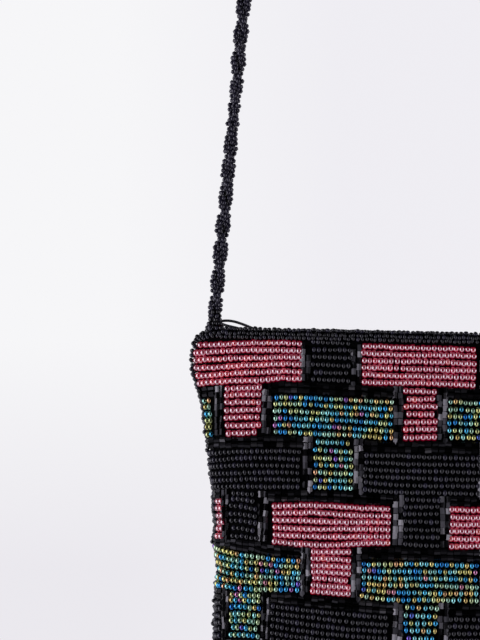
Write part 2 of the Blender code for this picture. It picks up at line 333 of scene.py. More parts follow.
def bilinear(table, row, column):
    """Values of a table between its rows and columns."""
    low = np.minimum(row.astype(int), table.shape[0] - 2)
    left = np.minimum(column.astype(int), table.shape[1] - 2)
    down, across = row - low, column - left
    upper = (1 - across) * table[low, left] + across * table[low, left + 1]
    lower = (1 - across) * table[low + 1, left] + across * table[low + 1, left + 1]
    return (1 - down) * upper + down * lower


def jitter(count, size):
    """A small random vector for each bead."""
    return size * rng.normal(0.0, 1.0, (count, 3))


class Surface:
    """The outer face of the body. u runs along the cloth from its middle, v down from the panel's top."""

    def __init__(self):
        places, widths, depths = np.array(PANEL_SECTIONS).T
        self.down = np.linspace(0.0, 1.0, 345)
        self.half_width = smoothed(self.down, places, widths, 2.6) * PANEL_WIDTH / 2
        self.half_depth = smoothed(self.down, places, depths, 2.6) * BODY_DEPTH / 2
        self.aspects = np.linspace(0.01, 0.42, 21)
        self.shares = np.linspace(0.0, 1.0, 241)
        turn = np.linspace(0.0, pi / 2, 2400)
        rows, lengths = [], []
        for aspect in self.aspects:
            x = np.sin(turn) ** (2 / PLAN_POWER)
            y = aspect * np.cos(turn) ** (2 / PLAN_POWER)
            run = run_along(columns(x, y))
            rows.append(np.interp(self.shares, run / run[-1], turn))
            lengths.append(run[-1])
        self.turns = np.array(rows)
        self.lengths = np.array(lengths)

    def halves(self, v, sink):
        down = np.clip(v / PANEL_HEIGHT, 0.0, 1.0)
        half_width = np.interp(down, self.down, self.half_width) + SEED_RADIUS - sink
        half_width = half_width + np.interp(v, SIDE_REACH_PLACES, SIDE_REACH)
        half_depth = np.interp(down, self.down, self.half_depth) - sink
        return half_width, np.maximum(half_depth, 0.00001)

    def reach(self, v, sink=SEED_RADIUS):
        """Length of the cloth from the middle of this row to its end."""
        half_width, half_depth = self.halves(v, sink)
        return half_width * np.interp(half_depth / half_width, self.aspects, self.lengths)

    def at(self, side, u, v, sink=0.0):
        """Points in the bag's frame. side is -1 for the front, 1 for the back; sink is how deep they lie."""
        half_width, half_depth = self.halves(v, sink)
        share = np.clip(np.abs(u) / self.reach(v, sink), 0.0, 1.0) * (len(self.shares) - 1)
        aspect = (half_depth / half_width - self.aspects[0]) / (self.aspects[1] - self.aspects[0])
        turn = bilinear(self.turns, np.clip(aspect, 0.0, len(self.aspects) - 1.001), share)
        x = np.sign(u) * half_width * np.sin(turn) ** (2 / PLAN_POWER)
        y = side * half_depth * np.maximum(np.cos(turn), 0.0) ** (2 / PLAN_POWER)
        return columns(x, y, PANEL_TOP - v)

    def frame_at(self, side, u, v, sink=0.0):
        """Points with the directions along the row, down the panel and out of it."""
        step = 0.0004
        inside = self.reach(v, sink) - 2 * step
        u = np.clip(u, -inside, inside)
        place = self.at(side, u, v, sink)
        along = unit(self.at(side, u + step, v, sink) - self.at(side, u - step, v, sink))
        down = self.at(side, u, v + step, sink) - self.at(side, u, v - step, sink)
        down = square_to(along, down)
        out = np.cross(along, down)
        out = np.where(np.sum(out * [0.0, side, 0.0], axis=-1, keepdims=True) < 0, -out, out)
        return place, along, down, out


SURFACE = Surface()
WARP_FINE = np.linspace(-80.0, 80.0, 321)
WARP_HEIGHTS = np.array(
    [FIRST_ROW + band * BAND_PITCH + row * ROW_PITCH for band in range(BANDS) for row in (0, BAR_ROWS - 1)]
)


def warp_table():
    """The warp at each height of WARP_HEIGHTS, at even places across the cloth."""
    rows = []
    for number, height in enumerate(WARP_HEIGHTS * 1000):
        wave = 0.45 * np.sin(WARP_FINE / 9.5 + height / 21 + 0.6)
        wave += 0.35 * np.sin(WARP_FINE / 5.2 - height / 13)
        shown = smoothed(WARP_FINE, WARP_PLACES, WARP[min(number, len(WARP) - 1)], 5.0, "edge")
        share = np.clip((WARP_FINE - WARP_PLACES[-1]) / 16, 0, 1)
        share = np.maximum(share, np.clip((number - len(WARP) + 1) / 3, 0, 1))
        rows.append(shown * (1 - share) + wave * share)
    return np.array(rows)


WARP_ROWS = warp_table()


def warp(u, v):
    """How far a row is moved down at these places, in metres."""
    row = np.interp(v, WARP_HEIGHTS, np.arange(len(WARP_HEIGHTS))).clip(0, len(WARP_HEIGHTS) - 1.001)
    column = (u * 1000 - WARP_FINE[0]) / (WARP_FINE[1] - WARP_FINE[0])
    return bilinear(WARP_ROWS, row, column.clip(0, len(WARP_FINE) - 1.001)) / 1000


def slope(u, v):
    """How steeply a row runs down the panel at these places."""
    step = 0.0006
    return ((warp(u + step, v) - warp(u - step, v)) / (2 * step))[:, None]


def joined(low, high, index, after):
    """Two triangles between two rings of points, from one place on them to the next."""
    return [(low + index, low + after, high + after), (low + index, high + after, high + index)]


def barrel_template(rings, sides):
    """A closed round bead along X, of unit half length and radius. Each ring is (place, radius)."""
    points = [(-1.0, 0.0, 0.0)]
    for place, radius in rings:
        for index in range(sides):
            angle = 2 * pi * index / sides
            points.append((place, radius * cos(angle), radius * sin(angle)))
    points.append((1.0, 0.0, 0.0))
    faces = []
    for index in range(sides):
        after = (index + 1) % sides
        faces.append((0, 1 + after, 1 + index))
        last = 1 + (len(rings) - 1) * sides
        faces.append((last + sides, last + index, last + after))
        for ring in range(len(rings) - 1):
            faces += joined(1 + ring * sides, 1 + (ring + 1) * sides, index, after)
    return np.array(points), np.array(faces)


def prism_template(sides):
    """A cut bead along X, with an edge of it outwards: a prism whose ends are a little dished."""
    points = [(-0.93, 0.0, 0.0), (0.93, 0.0, 0.0)]
    for place in (-1.0, 1.0):
        for index in range(sides):
            angle = 2 * pi * index / sides
            points.append((place, cos(angle), sin(angle)))
    faces = []
    for index in range(sides):
        after = (index + 1) % sides
        faces += [(0, 2 + after, 2 + index), (1, 2 + sides + index, 2 + sides + after)]
        faces += joined(2, 2 + sides, index, after)
    return np.array(points), np.array(faces)


CRIMSON_SEED = barrel_template(((-0.80, 0.86), (0.0, 1.0), (0.80, 0.86)), 8)
SEED = barrel_template(((-0.66, 0.82), (0.0, 1.0), (0.66, 0.82)), 8)
ROPE_SEED = barrel_template(((-0.66, 0.82), (0.0, 1.0), (0.66, 0.82)), 6)
BUGLE = prism_template(6)


class Beads:
    """Beads of one kind that are gathered into one mesh."""

    def __init__(self, template, smooth=True):
        self.template = template
        self.smooth = smooth
        self.rows = []

    def add(self, place, along, out, half_length, radius, tint):
        """Adds beads, with the directions of their holes and of their faces, in the world's frame."""
        half_length = np.broadcast_to(half_length, len(place))[:, None]
        radius = np.broadcast_to(radius, len(place))[:, None]
        axes = [along * half_length, out * radius, np.cross(along, out) * radius]
        self.rows.append((place, np.stack(axes, axis=1), tint))

    def sew(self, place, along, out, half_length, radius, tint):
        """Adds beads that are given in the bag's own frame."""
        self.add(bag_to_world(place), turn_to_world(along), turn_to_world(out), half_length, radius, tint)

    def make(self, name, kind, replaces=()):
        """The piece, made of one kind of glass or plastic, and the solids that it stands for."""
        place, axes, tint = (np.concatenate(parts) for parts in zip(*self.rows))
        points, faces = self.template
        verts = np.einsum("pk,nkc->npc", points, axes) + place[:, None, :]
        index = faces[None, :, :] + (np.arange(len(place)) * len(points))[:, None, None]
        tints = np.repeat(tint, len(points), axis=0)
        obj = mesh_piece(name, verts.reshape(-1, 3), index.reshape(-1, 3), kind, self.smooth)
        layer = obj.data.attributes.new("tint", "FLOAT_COLOR", "POINT")
        layer.data.foreach_set("color", tints.astype(np.float32).ravel())
        if replaces:
            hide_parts(*replaces)


def add_object(name, data):
    obj = bpy.data.objects.new(name, data)
    bpy.context.scene.collection.objects.link(obj)
    return obj


def mesh_piece(name, verts, faces, kind, smooth=True):
    """A piece from arrays of points and triangles, which rides on the bag."""
    material, slot = LOOKS[kind]
    mesh = bpy.data.meshes.new(name)
    mesh.vertices.add(len(verts))
    mesh.vertices.foreach_set("co", np.asarray(verts, np.float32).ravel())
    mesh.loops.add(faces.size)
    mesh.loops.foreach_set("vertex_index", faces.astype(np.int32).ravel())
    mesh.polygons.add(len(faces))
    mesh.polygons.foreach_set("loop_start", np.arange(0, faces.size, 3, dtype=np.int32))
    mesh.update(calc_edges=True)
    mesh.validate()
    if smooth:
        mesh.shade_smooth()
    else:
        mesh.shade_flat()
    mesh.materials.append(material)
    obj = add_object(name, mesh)
    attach(obj, "root")
    return obj


# Materials


def new_material(name, **values):
    """A material with the nodes of its tree, and its shader with these inputs set."""
    material = bpy.data.materials.new(name)
    material.use_nodes = True
    nodes = material.node_tree.nodes
    return material, nodes, put(nodes["Principled BSDF"], **values)


def put(node, **values):
    """Sets a node's inputs. In their names an underscore stands for a space."""
    for name, value in values.items():
        node.inputs[name.replace("_", " ")].default_value = value
    return node


def link(output, socket):
    output.id_data.links.new(output, socket)


def ramp(value, stops):
    """The colour that a value has among the stops."""
    node = value.id_data.nodes.new("ShaderNodeValToRGB")
    link(value, node.inputs["Fac"])
    elements = node.color_ramp.elements
    while len(elements) > 1:
        elements.remove(elements[-1])
    elements[0].position = stops[0][0]
    elements[0].color = (*stops[0][1], 1.0)
    for place, colour in stops[1:]:
        elements.new(place).color = (*colour, 1.0)
    return node.outputs["Color"]


def map_range(value, to=(0.0, 1.0), limits=(0.0, 1.0)):
    """A value between two limits, brought between two others."""
    node = value.id_data.nodes.new("ShaderNodeMapRange")
    put(node, From_Min=limits[0], From_Max=limits[1], To_Min=to[0], To_Max=to[1])
    link(value, node.inputs["Value"])
    return node.outputs["Result"]


def tinted(name, channel, stops, shades=None, **values):
    """Material whose colour is picked by one of the beads' own random numbers and shaded by another."""
    material, nodes, shader = new_material(name, **values)
    attribute = nodes.new("ShaderNodeAttribute")
    attribute.attribute_name = "tint"
    split = nodes.new("ShaderNodeSeparateColor")
    link(attribute.outputs["Color"], split.inputs["Color"])
    colour = ramp(split.outputs[channel], stops)
    if shades:
        shaded = nodes.new("ShaderNodeVectorMath")
        shaded.operation = "SCALE"
        link(colour, shaded.inputs[0])
        link(map_range(split.outputs["Green"], shades), shaded.inputs["Scale"])
        colour = shaded.outputs["Vector"]
    link(colour, shader.inputs["Base Color"])
    return material


IRIS_COLOURS = (
    (0.00, (0.46, 0.68, 0.50)),
    (0.16, (0.36, 0.68, 0.59)),
    (0.30, (0.22, 0.61, 0.68)),
    (0.48, (0.10, 0.49, 0.73)),
    (0.58, (0.05, 0.34, 0.70)),
    (0.64, (0.03, 0.20, 0.60)),
    (0.660, (0.20, 0.12, 0.52)),
    (0.672, (0.60, 0.24, 0.42)),
    (0.69, (0.72, 0.40, 0.24)),
    (0.74, (0.72, 0.54, 0.20)),
    (0.84, (0.64, 0.62, 0.24)),
    (0.93, (0.56, 0.68, 0.38)),
    (1.00, (0.46, 0.68, 0.48)),
)
# The bright red top stops make the painted glow round the glowing corner; elsewhere a few beads reach them
# at random.
CRIMSON_COLOURS = (
    (0.00, (0.14, 0.001, 0.016)),
    (0.45, (0.22, 0.002, 0.028)),
    (0.80, (0.32, 0.004, 0.044)),
    (0.96, (0.80, 0.012, 0.040)),
    (0.994, (0.80, 0.140, 0.060)),
    (1.00, (0.80, 0.140, 0.060)),
)
BLACK_COLOURS = (
    (0.0, (0.001, 0.001, 0.003)),
    (0.6, (0.005, 0.0045, 0.009)),
    (1.0, (0.028, 0.025, 0.052)),
)
# Some of the cut beads have mirror-like faces, and most hardly shine.
BUGLE_COLOURS = (
    (0.00, (0.014, 0.014, 0.016)),
    (0.40, (0.030, 0.029, 0.034)),
    (0.68, (0.046, 0.045, 0.051)),
    (0.76, (0.095, 0.092, 0.101)),
    (1.00, (0.145, 0.140, 0.154)),
)
COIL_COLOURS = ((0.0, (0.010, 0.010, 0.012)), (1.0, (0.030, 0.030, 0.034)))


def crimson_glass():
    """Clear red glass under a bright coat, with a painted red glow: its emission stands in for light that
    passes through the glass.
    """
    return tinted(
        "crimson_glass",
        "Red",
        CRIMSON_COLOURS,
        (0.78, 1.0),
        Roughness=0.12,
        IOR=2.8,
        Specular_Tint=(0.80, 0.80, 1.0, 1.0),
        Coat_Weight=1.0,
        Coat_Roughness=0.05,
        Coat_IOR=3.6,
        # The emission is a painted glow of red light, not a lamp: it lightens the beads' dark sides and the
        # gaps between them.
        Emission_Color=(1.0, 0.005, 0.08, 1.0),
        Emission_Strength=0.165,
        Subsurface_Weight=1.0,
        Subsurface_Radius=(1.0, 0.15, 0.20),
        Subsurface_Scale=0.0014,
    )


def black_glass():
    """Opaque black glass, faintly blue in its reflections."""
    reflections = (0.95, 0.94, 1.0, 1.0)
    return tinted(
        "black_glass", "Green", BLACK_COLOURS, IOR=1.66, Roughness=0.09, Specular_Tint=reflections
    )


def noise(place, scale):
    node = put(place.id_data.nodes.new("ShaderNodeTexNoise"), Scale=scale)
    link(place, node.inputs["Vector"])
    return node


def woven(name, colour, thread=0.0004, roughness=0.85, shine=0.5):
    """Cloth: a fine over-and-under weave in colour and bump."""
    material, nodes, shader = new_material(name, Roughness=roughness, Specular_IOR_Level=shine)
    place = nodes.new("ShaderNodeTexCoord").outputs["Object"]
    weave = nodes.new("ShaderNodeTexChecker")
    put(weave, Scale=1 / thread, Color1=(*colour, 1.0), Color2=(*(0.55 * part for part in colour), 1.0))
    link(place, weave.inputs["Vector"])
    mix = nodes.new("ShaderNodeMix")
    mix.data_type = "RGBA"
    mix.blend_type = "MULTIPLY"
    mix.inputs[0].default_value = 0.5
    link(weave.outputs["Color"], mix.inputs[6])
    link(noise(place, 900.0).outputs["Color"], mix.inputs[7])
    link(mix.outputs[2], shader.inputs["Base Color"])
    bump = put(nodes.new("ShaderNodeBump"), Distance=0.0001)
    link(weave.outputs["Fac"], bump.inputs["Height"])
    link(bump.outputs["Normal"], shader.inputs["Normal"])
    return material


def coated_metal():
    """Black-coated metal with a fine uneven surface."""
    black = (0.05, 0.05, 0.055, 1.0)
    material, nodes, shader = new_material("zip_slider_metal", Metallic=0.9, Base_Color=black)
    grain = noise(nodes.new("ShaderNodeTexCoord").outputs["Object"], 1400.0)
    link(map_range(grain.outputs["Fac"], (0.22, 0.42)), shader.inputs["Roughness"])
    return material


# Each kind's material, with a slot name beside it.
LOOKS = {
    "crimson": (crimson_glass(), "crimson_glass"),
    "iris": (
        tinted("iris_glass", "Red", IRIS_COLOURS, (0.64, 1.20), Metallic=1.0, Roughness=0.16),
        "iris_glass",
    ),
    "black": (black_glass(), "black_glass"),
    "bugle": (tinted("cut_glass", "Red", BUGLE_COLOURS, Metallic=1.0, Roughness=0.27), "black_glass"),
    "cloth": (woven("backing_cloth", (0.0016, 0.0014, 0.0018), shine=0.08), "backing_cloth"),
    "tape": (woven("zip_tape", (0.165, 0.165, 0.182), 0.00025, 0.40), "zip_tape"),
    "coil": (tinted("zip_coil_plastic", "Green", COIL_COLOURS, Roughness=0.38), "zip_coil"),
    "metal": (coated_metal(), "zip_slider"),
}


def tints(count):
    """Random numbers for each bead, kept as its colour."""
    values = rng.random((count, 4))
    values[:, 3] = 1.0
    return values


def seed_sizes(count, spread=0.06):
    return 1 + rng.normal(0.0, spread, (count, 2)).clip(-2.2 * spread, 2.2 * spread)


# The panels


def drift(side, u, v):
    """A slow change of colour over the cloth."""
    x, y = u * 1000 + 40 * side, v * 1000
    slow = np.sin(x / 5.1 + 0.7 * np.sin(y / 6.0)) + np.sin(x / 11.0 - y / 7.5 + 1.3)
    return slow + np.sin(y / 3.7 + x / 23.0)


def crimson_tints(u, v):
    """Random numbers for crimson beads, raised round the corner where a glow of light through the glass is
    painted.
    """
    tint = rng.random(len(u))
    width, height = PAINTED_GLOW_CORNER_SIZE
    near = np.exp(-(((u - PAINTED_GLOW_CORNER[0]) / width) ** 2) - ((v - PAINTED_GLOW_CORNER[1]) / height) ** 2)
    return np.where(tint < BRIGHT_RED, np.minimum(tint + PAINTED_GLOW_CORNER_SHARE * near, BRIGHT_RED), tint)


def on_panel(u, rows, margins):
    """Which of these places lie on the panel, off its edges by the margins."""
    aside, top, bottom = margins
    return (np.abs(u) < SURFACE.reach(rows) - aside) & (rows > top) & (rows < PANEL_HEIGHT - bottom)


def bead_row(kinds, colour, side, centre, width, wanted, v, margin=0.0):
    """A row of seed beads sewn along the cloth. Those within the margin of the seam are black."""
    steps = 1 + rng.normal(0.0, SPACING_SPREAD, wanted) + LOOSE_GAP * (rng.random(wanted) < LOOSE_SHARE)
    ends = np.cumsum(steps)
    pitch = width / ends[-1]
    u = centre - width / 2 + (ends - steps / 2) * pitch
    rows = v + 0.00010 * np.sin(u * 180 + v * 900) + rng.normal(0.0, 0.00006, wanted)
    rows = rows + warp(u, rows)
    keep = on_panel(u, rows, SEED_MARGINS)
    u, rows = u[keep], rows[keep]
    count = len(u)
    if not count:
        return
    sizes = seed_sizes(count)
    place, along, down, out = SURFACE.frame_at(side, u, rows, SEED_RADIUS)
    along = unit(along + down * slope(u, rows) + jitter(count, 0.07))
    out = square_to(along, out)
    longer, wider = BEAD_SHAPES[colour]
    half = longer * np.minimum(SEED_LENGTH * sizes[:, 1], pitch * 1.04) / 2
    radius = wider * SEED_RADIUS * sizes[:, 0]
    tint = tints(count)
    tint[:, 0] = (0.75 * tint[:, 0] + 0.12 * drift(side, u, rows) + 0.3) % 1.0
    if colour == "crimson":
        # Round one corner these beads are raised into a painted glow of light through the glass.
        tint[:, 0] = crimson_tints(u, rows)
    black = np.abs(u) > SURFACE.reach(rows) - margin
    for kind, pick in ((colour, ~black), ("black", black)):
        kinds[kind].sew(place[pick], along[pick], out[pick], half[pick], radius[pick], tint[pick])


def bugle_line(beads, side, u, v, upright):
    """Bugle beads at these places, lying along the row or standing across it."""
    rows = v + warp(u, v)
    keep = on_panel(u, rows, BUGLE_MARGINS)
    u, rows = u[keep], rows[keep]
    count = len(u)
    if not count:
        return
    place, along, down, out = SURFACE.frame_at(side, u, rows, BUGLE_RADIUS * 1.3)
    tint = tints(count)
    if not upright:
        tint[:, 0] *= np.where(tint[:, 1] < DULL_SHARE, DULL_PART, 1.0)
    run = down if upright else along + down * slope(u, rows)
    run = unit(run + jitter(count, 0.06))
    out = square_to(run, out)
    turned = np.where(rng.random(count) < 0.6, rng.normal(0.0, 0.12, count), rng.uniform(-0.52, 0.52, count))
    roll = turned[:, None]
    rolled = out * np.cos(roll) + np.cross(run, out) * np.sin(roll)
    half = BUGLE_LENGTH / 2 * (1 + rng.normal(0.0, 0.05, count).clip(-0.12, 0.06))
    radius = BUGLE_RADIUS * (1 + rng.normal(0.0, 0.04, count).clip(-0.1, 0.08))
    beads.sew(place, run, rolled, half, radius, tint)


def lay_bar(kinds, colour, side, centre, width, count, top, black_margin):
    """The rows of a block's bar. Those of a half block start further in where the panel is narrower."""
    for row in range(BAR_ROWS):
        v = np.float64(top + row * ROW_PITCH)
        row_width = width + rng.normal(0.0, 0.0003)
        middle = centre + rng.normal(0.0, 0.00014)
        margin = 0.0
        if abs(centre) > PAST_SEAM:
            middle -= SEAM_FOLLOW * np.sign(centre) * (SURFACE.reach(np.float64(top)) - SURFACE.reach(v))
            margin = black_margin
        bead_row(kinds, colour, side, middle, row_width, count, v, margin)


def lay_stem(kinds, colour, side, stem, width, count, bottom):
    """The rows of a block's stem, under its bar, and the columns of bugles on either side of it."""
    for v in bottom + np.linspace(FIRST_STEM_ROW, BAND_PITCH - 0.0001, STEM_ROWS):
        wanted = count if rng.random() < FULL_SHARE else count - 1
        row_width = width * (wanted + 0.2) / count
        bead_row(kinds, colour, side, stem + rng.normal(0.0, 0.00015), row_width, wanted, v)
    for hand in (-1, 1):
        for column in BUGLE_COLUMNS:
            start = bottom + COLUMN_DROP + rng.normal(0.0, 0.0003)
            places = start + COLUMN_BUGLE_PITCH * np.arange(9)
            places = places[places < bottom + BAND_PITCH + COLUMN_OVERRUN]
            lean = rng.normal(0.0, 0.00012, len(places))
            u = stem + hand * (width / 2 + column * COLUMN_PITCH) + lean
            bugle_line(kinds["bugle"], side, u, places, True)


def lay_bugle_rows(beads, side, borders, bottom):
    """The rows of bugles under a band's bars, between its stems."""
    for drop in BUGLE_ROWS:
        for start, end in zip(borders[::2], borders[1::2]):
            wanted = int((end - start) / ROW_BUGLE_PITCH)
            if wanted < 1:
                continue
            u = start + (end - start) * (np.arange(wanted) + 0.5) / wanted
            bugle_line(beads, side, u, bottom + drop + rng.normal(0.0, 0.0001, wanted), False)


def panel_beads(side):
    """All the beads of one panel, sorted by kind."""
    kinds = {name: Beads(CRIMSON_SEED if name == "crimson" else SEED) for name in COLOURS}
    kinds["bugle"] = Beads(BUGLE, smooth=False)
    for band in range(-1, BANDS):
        colour = COLOURS[band % 3]
        top = FIRST_ROW + band * BAND_PITCH
        bottom = top + (BAR_ROWS - 1) * ROW_PITCH
        borders = [-PAST_SEAM]
        blocks = BLOCKS[band] if band >= 0 else FIRST_STEMS
        for block in sorted(blocks, key=lambda block: -side * block[0]):
            centre, aside, bar, bar_beads, stem, stem_beads = block + USUAL_BLOCK[len(block):]
            centre, aside = -side * centre / 1000, -side * aside / 1000
            bar, stem = bar / 1000, stem / 1000
            if band >= 0:
                lay_bar(kinds, colour, side, centre, bar, bar_beads, top, BLACK_MARGINS[band])
            lay_stem(kinds, colour, side, centre + aside, stem, stem_beads, bottom)
            half = stem / 2 + 2 * COLUMN_PITCH
            borders += [centre + aside - half, centre + aside + half]
        borders.append(PAST_SEAM)
        if band >= 0:
            lay_bugle_rows(kinds["bugle"], side, borders, bottom)
    return kinds


def make_panels():
    for label, side in SIDES:
        for kind, beads in panel_beads(side).items():
            replaces = (f"{label}_panel",) if kind == "black" else ()
            beads.make(f"{label}_{kind}_beads", kind, replaces)


def slab(name, outer, inner, turned):
    """A closed wall of cloth between two grids of points."""
    verts = np.concatenate([outer.reshape(-1, 3), inner.reshape(-1, 3)])
    faces = closed_grid(*outer.shape[:2])
    mesh_piece(name, bag_to_world(verts), faces[:, ::-1] if turned else faces, "cloth")


def make_cloth():
    """The cloth under each panel's beads, and the strip under the beads round the mouth."""
    down = np.linspace(0.0004, PANEL_HEIGHT - 0.0010, 61)
    across = np.linspace(-0.994, 0.994, 73)
    grid_v = np.repeat(down[:, None], len(across), axis=1)
    for label, side in SIDES:
        faces = []
        for sink, shift in CLOTH_FACES:
            face = SURFACE.at(side, across * SURFACE.reach(grid_v, sink), grid_v, sink)
            faces.append(face + [0.0, side * shift, 0.0])
        slab(f"{label}_cloth", *faces, side > 0)

        faces = []
        for cut in (0.0, MOUTH_STRIP_THICKNESS):
            rows = []
            for height, half_width, half_depth in MOUTH_STRIP:
                x, y, _ = half_round(across * 0.99, half_width - cut, half_depth - cut, side)
                droop = droop_at(x) * (1 - height / MOUTH_STRIP[-1][0])
                rows.append(columns(x, y + side * 0.0001, height - droop))
            faces.append(np.array(rows))
        slab(f"mouth_strip_{label}", *faces, side > 0)


def closed_grid(rows, width):
    """Triangles of a slab whose outer and inner faces are grids of points, one after the other."""
    faces = []
    size = rows * width

    def quad(a, b, c, d):
        faces.append((a, b, c))
        faces.append((a, c, d))

    for row in range(rows - 1):
        for column in range(width - 1):
            a = row * width + column
            quad(a, a + width, a + width + 1, a + 1)
            quad(size + a, size + a + 1, size + a + width + 1, size + a + width)
    border = [*range(width)]
    border += [row * width + width - 1 for row in range(1, rows)]
    border += [(rows - 1) * width + column for column in range(width - 2, -1, -1)]
    border += [row * width for row in range(rows - 2, 0, -1)]
    for here, after in zip(border, border[1:] + border[:1]):
        quad(here, after, size + after, size + here)
    return np.array(faces)


# The strap


def strap_line():
    """Middle of the strap, from its left root over the hanging place to its right root, 0.5 mm apart."""
    bend = HANG_RADIUS + STRAP_RADIUS
    centre = np.array([0.0, 0.0, -HANG_RADIUS])
    roots = np.array([[hand * STRAP_SPREAD / 2, 0.0, ROOT_HEIGHT] for hand in (-1, 1)])
    left, right = bag_to_world(roots)
    angles = []
    for end, turn in ((left, -1), (right, 1)):
        away = end - centre
        angles.append(atan2(away[2], away[0]) + turn * acos(bend / np.linalg.norm(away)))
    angles[0] %= 2 * pi
    arc = np.linspace(angles[0], angles[1], 60)
    over = centre + bend * columns(np.cos(arc), 0.0, np.sin(arc))
    points = np.concatenate([[left], over, [right]])
    run = run_along(points)
    places = np.arange(0.0, run[-1], 0.0005)
    return places, read_line(places, run, points)


def make_strap():
    places, line = strap_line()
    total = places[-1] * 1000
    crossings = list(CROSSINGS)
    while crossings[-1] < total + 20:
        crossings.append(crossings[-1] + CROSSING_STEP * (1 + CROSSING_SPREAD * rng.uniform(-1, 1)))
    spin = pi / 2 + pi * np.interp(places * 1000, crossings, np.arange(len(crossings)))
    spin = spin - DWELL * np.sin(2 * spin)
    spin = np.convolve(np.pad(spin, 3, mode="edge"), np.ones(7) / 7, mode="valid")
    middles = (np.array(crossings[:-1]) + np.array(crossings[1:])) / 2
    spread = np.clip(np.diff(crossings) / CROSSING_STEP, 0.6, 1.0) ** 0.8
    looseness = np.interp(places * 1000, middles, spread)
    tangent = unit(np.gradient(line, axis=0))
    depth = np.array([0.0, 1.0, 0.0]) + 0 * tangent
    side = np.cross(tangent, depth)
    for number, turn in enumerate((0.0, pi)):
        aside = np.cos(spin + turn)[:, None] * side + np.sin(spin + turn)[:, None] * depth
        wander = 1 + 0.10 * np.sin(places * 310 + number) + 0.07 * np.sin(places * 743 + 2 * number)
        strand = line + aside * (STRAND_OFFSET * wander * looseness)[:, None]
        strung_beads(f"strap_strand_{number + 1}", strand, -aside, number)


def strand_frame(spots, run, strand):
    """Points of a strand, with the directions along it and, square to that, to the back."""
    tangent = unit(read_line(spots + 0.0006, run, strand) - read_line(spots - 0.0006, run, strand))
    return read_line(spots, run, strand), tangent, square_to(tangent, np.array([0.0, 1.0, 0.0]))


def strung_beads(name, strand, inward, number):
    """One strand: a string of beads wound round and round a cord, pressed flat against its fellow."""
    run = run_along(strand)
    per_turn = 2 * pi * STRAND_RING / SMALL_LENGTH
    count = int(run[-1] / STRING_PITCH * per_turn)
    order = np.arange(count)
    spots = (order + 0.5) * run[-1] / count
    place, tangent, depth = strand_frame(spots, run, strand)
    fellow = read_line(spots, run, inward)
    side = np.cross(tangent, depth)
    angle = 2 * pi * order / per_turn + number * 1.3 + rng.normal(0.0, 0.09, count)
    out = side * np.cos(angle)[:, None] + depth * np.sin(angle)[:, None]
    hole = unit(np.cross(tangent, out) + jitter(count, 0.15))
    out = square_to(hole, out)
    reach = STRAND_RING * (1 + rng.normal(0.0, 0.06, count).clip(-0.15, 0.2))
    offset = out * reach[:, None]
    pressed = np.sum(offset * fellow, axis=-1)
    offset -= fellow * np.maximum(pressed - STRAND_CONTACT, 0.0)[:, None]
    sizes = seed_sizes(count, 0.07)
    tint = tints(count)
    tint[:, 1] = 0.86 + 0.14 * tint[:, 1]
    beads = Beads(ROPE_SEED)
    half = SMALL_LENGTH * sizes[:, 1] / 2
    beads.add(place + offset, hole, out, half, STRAND_BEAD_RADIUS * sizes[:, 0], tint)
    spots = np.arange(0.0, run[-1], CORE_STEP)
    place, tangent, depth = strand_frame(spots, run, strand)
    place = place + read_line(spots, run, inward) * CORE_ASIDE
    beads.add(place, tangent, depth, CORE_STEP * 0.75, CORE_RADIUS, np.tile(CORD_TINT, (len(spots), 1)))
    beads.make(name, "black", ("strap",))


# Edges and zip


def half_round(share, half_width, half_depth, side):
    """Points on half a superellipse, at shares of its half length from the middle, and that length."""
    turn = np.linspace(-pi / 2, pi / 2, 2001)
    x = half_width * np.sign(turn) * np.abs(np.sin(turn)) ** (2 / PLAN_POWER)
    y = half_depth * np.cos(turn).clip(0) ** (2 / PLAN_POWER)
    run = run_along(columns(x, y))
    length = run[-1] / 2
    run = run / length - 1
    return np.interp(share, run, x), side * np.interp(share, run, y), length


def droop_at(x):
    """How far the band has drooped round its corner at x."""
    return np.interp(np.abs(x), DROOP_PLACES, DROOP)


def sew_small(beads, place, hole, out, spread, longer, wider):
    """Sews small beads with their holes along one direction and their faces turned outwards."""
    sizes = seed_sizes(len(place), spread)
    half = SMALL_LENGTH / 2 * longer * sizes[:, 1]
    radius = SMALL_RADIUS * wider * sizes[:, 0]
    beads.sew(place, hole, square_to(hole, out), half, radius, tints(len(place)))


def make_top_edging():
    """The band round the mouth: beads sewn over the crest, and slanting rows under them."""
    for label, side in SIDES:
        beads = Beads(SEED)
        for height, half_width, half_depth, follow, pitch, kind in EDGE_LANES:
            height, pitch = height / 1000, pitch / 1000
            half_width, half_depth = half_width / 1000, half_depth / 1000

            def lane(share):
                """Points of the lane at shares of its half length."""
                x, y, _ = half_round(share, half_width, half_depth, side)
                return columns(x, y, height - follow * droop_at(x))

            length = half_round(0.0, half_width, half_depth, side)[2]
            count = int(2 * length / pitch)
            share = (np.arange(count) + 0.5) * 2 / count - 1 + rng.normal(0.0, 0.05, count) * pitch / length
            place = lane(share)
            along = unit(lane(share + 0.003) - lane(share - 0.003))
            out = square_to(along, place * [1 / half_width**2, 1 / half_depth**2, 0.0])
            up = np.cross(along, out)
            up = np.where(up[:, 2:] < 0, -up, up)
            place = place + jitter(count, 0.00012)
            if kind == "over":
                hole = unit(up - 0.65 * out + along * rng.normal(0.0, 0.22, (count, 1)))
            else:
                lean = 0.38 * np.where(np.arange(count) % 2 == 0, 1, -1) + rng.normal(0.0, 0.15, count)
                hole = unit(along + up * lean[:, None])
            sew_small(beads, place, hole, out, 0.07, 1.0, 1.03)
        beads.make(f"top_edge_{label}_beads", "black", (f"top_edging_{label}",))


